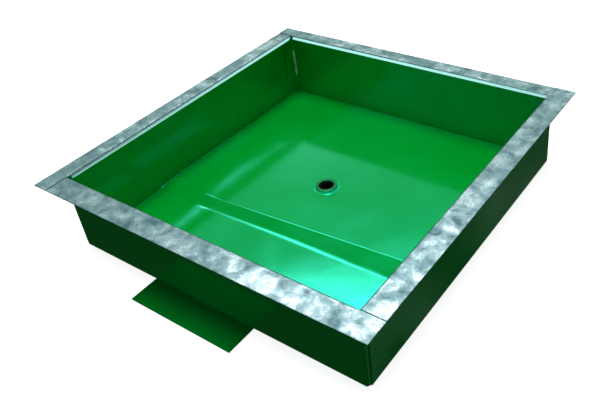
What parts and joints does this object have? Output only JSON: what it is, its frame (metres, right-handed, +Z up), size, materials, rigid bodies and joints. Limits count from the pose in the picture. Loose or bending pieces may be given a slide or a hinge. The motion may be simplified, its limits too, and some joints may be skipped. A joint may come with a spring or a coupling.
{
  "type": "oil drain pan",
  "caption": "Square folded sheet-steel oil drain pan with a wide flat rim, a stepped floor, a threaded drain with a screw plug and a flat foot strip in front.",
  "frame": {"origin": "middle of the tray, on the surface it stands on, which is the underside of the base strip", "axes": "+Z up, X along the front wall, -Y towards the front, where the base strip stands out"},
  "size_m": [0.56, 0.575, 0.1215],
  "materials": {
    "green_enamel": "high-gloss enamel",
    "galvanised_steel": "galvanised, smudged and scratched",
    "blackened_steel": "black phosphate",
    "seal_rubber": "matt"
  },
  "bodies": {
    "pan": {"wall_front": "green_enamel", "wall_right": "green_enamel", "wall_back": "green_enamel", "wall_left": "green_enamel", "rim_front": "galvanised_steel", "rim_right": "galvanised_steel", "rim_back": "galvanised_steel", "rim_left": "galvanised_steel", "floor": "green_enamel", "base_strip": "green_enamel", "drain_socket": "green_enamel"},
    "seal": {"drain_seal": "seal_rubber"},
    "plug": {"drain_plug": "blackened_steel"}
  },
  "joints": [
    {"name": "plug_lift", "type": "slide", "parent": "pan", "child": "seal", "axis": [0, 0, 1], "range_m": [0, 0.0109]},
    {"name": "plug_turn", "type": "hinge", "parent": "seal", "child": "plug", "pos_m": [-0.012, 0.022, 0.005], "axis": [0, 0, 1], "range_deg": [0, 2160]}
  ],
  "couplings": [
    {"joint": "plug_lift", "follows": "plug_turn", "m_per_rad": 0.00028871}
  ]
}
